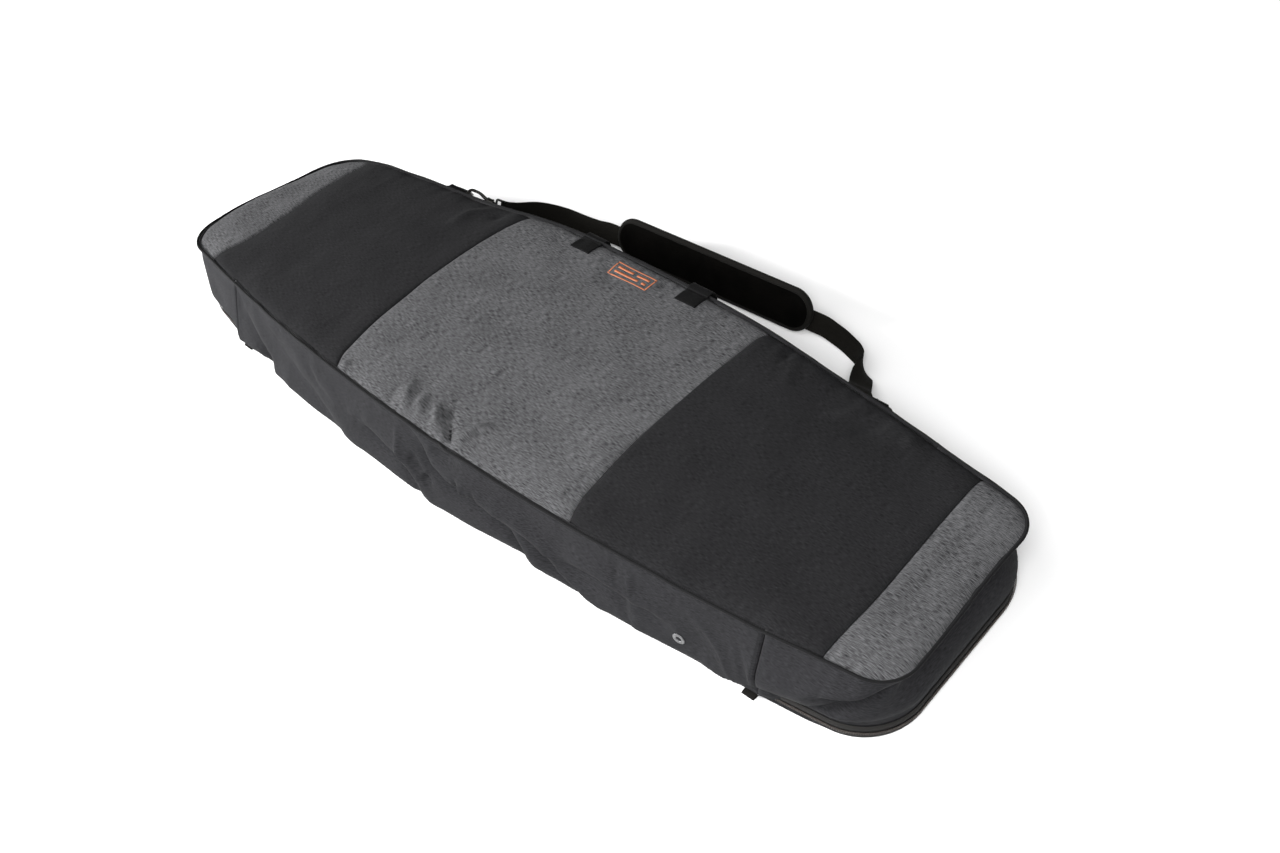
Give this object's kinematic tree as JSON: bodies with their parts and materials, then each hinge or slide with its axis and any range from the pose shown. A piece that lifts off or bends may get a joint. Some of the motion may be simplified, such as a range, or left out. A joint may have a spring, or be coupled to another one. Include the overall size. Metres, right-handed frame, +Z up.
{
  "type": "snowboard bag",
  "caption": "Padded clamshell board bag with a hinged lid, a zip round three sides, a carry handle and a removable padded shoulder strap.",
  "frame": {"origin": "middle of the flat underside, on the ground", "axes": "+X along the bag, towards the end on the right when the hinge side faces you; +Y from the hinged side to the handle side; +Z up"},
  "size_m": [1.5022, 0.6329, 0.1366],
  "materials": {
    "charcoal_cloth": "plain woven polyester, matt",
    "gusset_cloth": "plain woven polyester with a slight sheen",
    "heather_cloth": "grey heather twill, matt",
    "lining_cloth": "thin coated lining",
    "foam": "closed-cell foam, hidden between cloth and lining",
    "zip_tape": "ribbed woven tape",
    "coil_nylon": "moulded nylon coil",
    "piping": "cloth-covered cord",
    "webbing": "flat woven webbing",
    "pad_cloth": "brushed, velvet-like",
    "gunmetal": "dark plated zinc",
    "nickel": "satin plated"
  },
  "bodies": {
    "base": {"base_outer_cloth": "charcoal_cloth", "base_foam": "foam", "base_lining": "lining_cloth", "zip_tape_lower": "zip_tape", "zip_coil_lower": "coil_nylon", "zip_end_tab_left": "webbing", "zip_end_tab_right": "webbing"},
    "lid": {"front_panel_left_end": "heather_cloth", "front_panel_left_block": "charcoal_cloth", "front_panel_centre": "heather_cloth", "front_panel_right_block": "charcoal_cloth", "front_panel_right_end": "heather_cloth", "front_foam": "foam", "front_lining": "lining_cloth", "front_piping": "piping", "gusset_near": "gusset_cloth", "gusset_right_end": "gusset_cloth", "gusset_far": "gusset_cloth", "gusset_left_end": "gusset_cloth", "eyelet_left": "nickel", "eyelet_right": "nickel", "zip_tape_upper": "zip_tape", "zip_coil_upper": "coil_nylon", "handle_anchor_left": "webbing", "handle_anchor_right": "webbing", "d_ring_tab_left": "webbing", "d_ring_tab_right": "webbing"},
    "slider_left": {"zip_slider_left": "nickel"},
    "slider_right": {"zip_slider_right": "nickel"},
    "pull_left": {"zip_pull_left": "gunmetal"},
    "pull_right": {"zip_pull_right": "gunmetal"},
    "handle": {"carry_handle": "webbing"},
    "ring_left": {"d_ring_left": "gunmetal"},
    "ring_right": {"d_ring_right": "gunmetal"},
    "strap": {"strap_webbing": "webbing", "swivel_eye_left": "gunmetal", "swivel_eye_right": "gunmetal", "slide_adjuster": "gunmetal"},
    "hook_left": {"snap_hook_left": "gunmetal"},
    "hook_right": {"snap_hook_right": "gunmetal"},
    "gate_left": {"hook_gate_left": "nickel"},
    "gate_right": {"hook_gate_right": "nickel"},
    "pad": {"pad_cover": "pad_cloth", "pad_binding": "piping", "pad_sleeve": "pad_cloth"}
  },
  "joints": [
    {"name": "lid_hinge", "type": "hinge", "parent": "base", "child": "lid", "pos_m": [0, -0.245, 0.004], "axis": [1, 0, 0], "range_deg": [0, 90]},
    {"name": "zip_slider_left_run", "type": "hinge", "parent": "base", "child": "slider_left", "pos_m": [0, -4.28, 0.01255], "axis": [0, 0, 1], "range_deg": [0, 7.1]},
    {"name": "zip_slider_right_run", "type": "hinge", "parent": "base", "child": "slider_right", "pos_m": [0, -4.28, 0.01255], "axis": [0, 0, 1], "range_deg": [-7.1, 0]},
    {"name": "zip_pull_left_swing", "type": "hinge", "parent": "slider_left", "child": "pull_left", "pos_m": [-0.01703, 0.24607, 0.01255], "axis": [0, 0, 1], "range_deg": [-110, 0]},
    {"name": "zip_pull_right_swing", "type": "hinge", "parent": "slider_right", "child": "pull_right", "pos_m": [0.01703, 0.24607, 0.01255], "axis": [0, 0, 1], "range_deg": [0, 110]},
    {"name": "carry_handle_swing", "type": "hinge", "parent": "lid", "child": "handle", "pos_m": [0, 0.2218, 0.1332], "axis": [1, 0, 0], "range_deg": [0, 150]},
    {"name": "strap_swing", "type": "hinge", "parent": "lid", "child": "strap", "pos_m": [0, 0.22, 0.113], "axis": [1, 0, 0], "range_deg": [0, 100]},
    {"name": "ring_left_swing", "type": "hinge", "parent": "lid", "child": "ring_left", "pos_m": [-0.452, 0.22, 0.113], "axis": [1, 0, 0], "range_deg": [0, 100]},
    {"name": "ring_right_swing", "type": "hinge", "parent": "lid", "child": "ring_right", "pos_m": [0.452, 0.22, 0.113], "axis": [1, 0, 0], "range_deg": [0, 100]},
    {"name": "hook_left_swivel", "type": "hinge", "parent": "strap", "child": "hook_left", "pos_m": [-0.40708, 0.24905, 0.08684], "axis": [0.788, 0.4575, -0.412], "range_deg": [-25, 25]},
    {"name": "hook_gate_left_press", "type": "hinge", "parent": "hook_left", "child": "gate_left", "pos_m": [-0.41378, 0.24048, 0.08514], "axis": [-0.6157, 0.5856, -0.5273], "range_deg": [0, 24], "stiffness_Nm_per_rad": 0.05, "springref_deg": -11.46},
    {"name": "hook_right_swivel", "type": "hinge", "parent": "strap", "child": "hook_right", "pos_m": [0.4235, 0.24255, 0.06464], "axis": [-0.5, 0.366, -0.7849], "range_deg": [-25, 25]},
    {"name": "hook_gate_right_press", "type": "hinge", "parent": "hook_right", "child": "gate_right", "pos_m": [0.42775, 0.2331, 0.06835], "axis": [-0.866, -0.2113, 0.4532], "range_deg": [0, 24], "stiffness_Nm_per_rad": 0.05, "springref_deg": -11.46},
    {"name": "pad_slide", "type": "slide", "parent": "strap", "child": "pad", "axis": [0.999, 0.045, 0], "range_m": [-0.015, 0.015]}
  ],
  "couplings": [
    {"joint": "ring_left_swing", "follows": "strap_swing", "ratio": 1},
    {"joint": "ring_right_swing", "follows": "strap_swing", "ratio": 1}
  ]
}
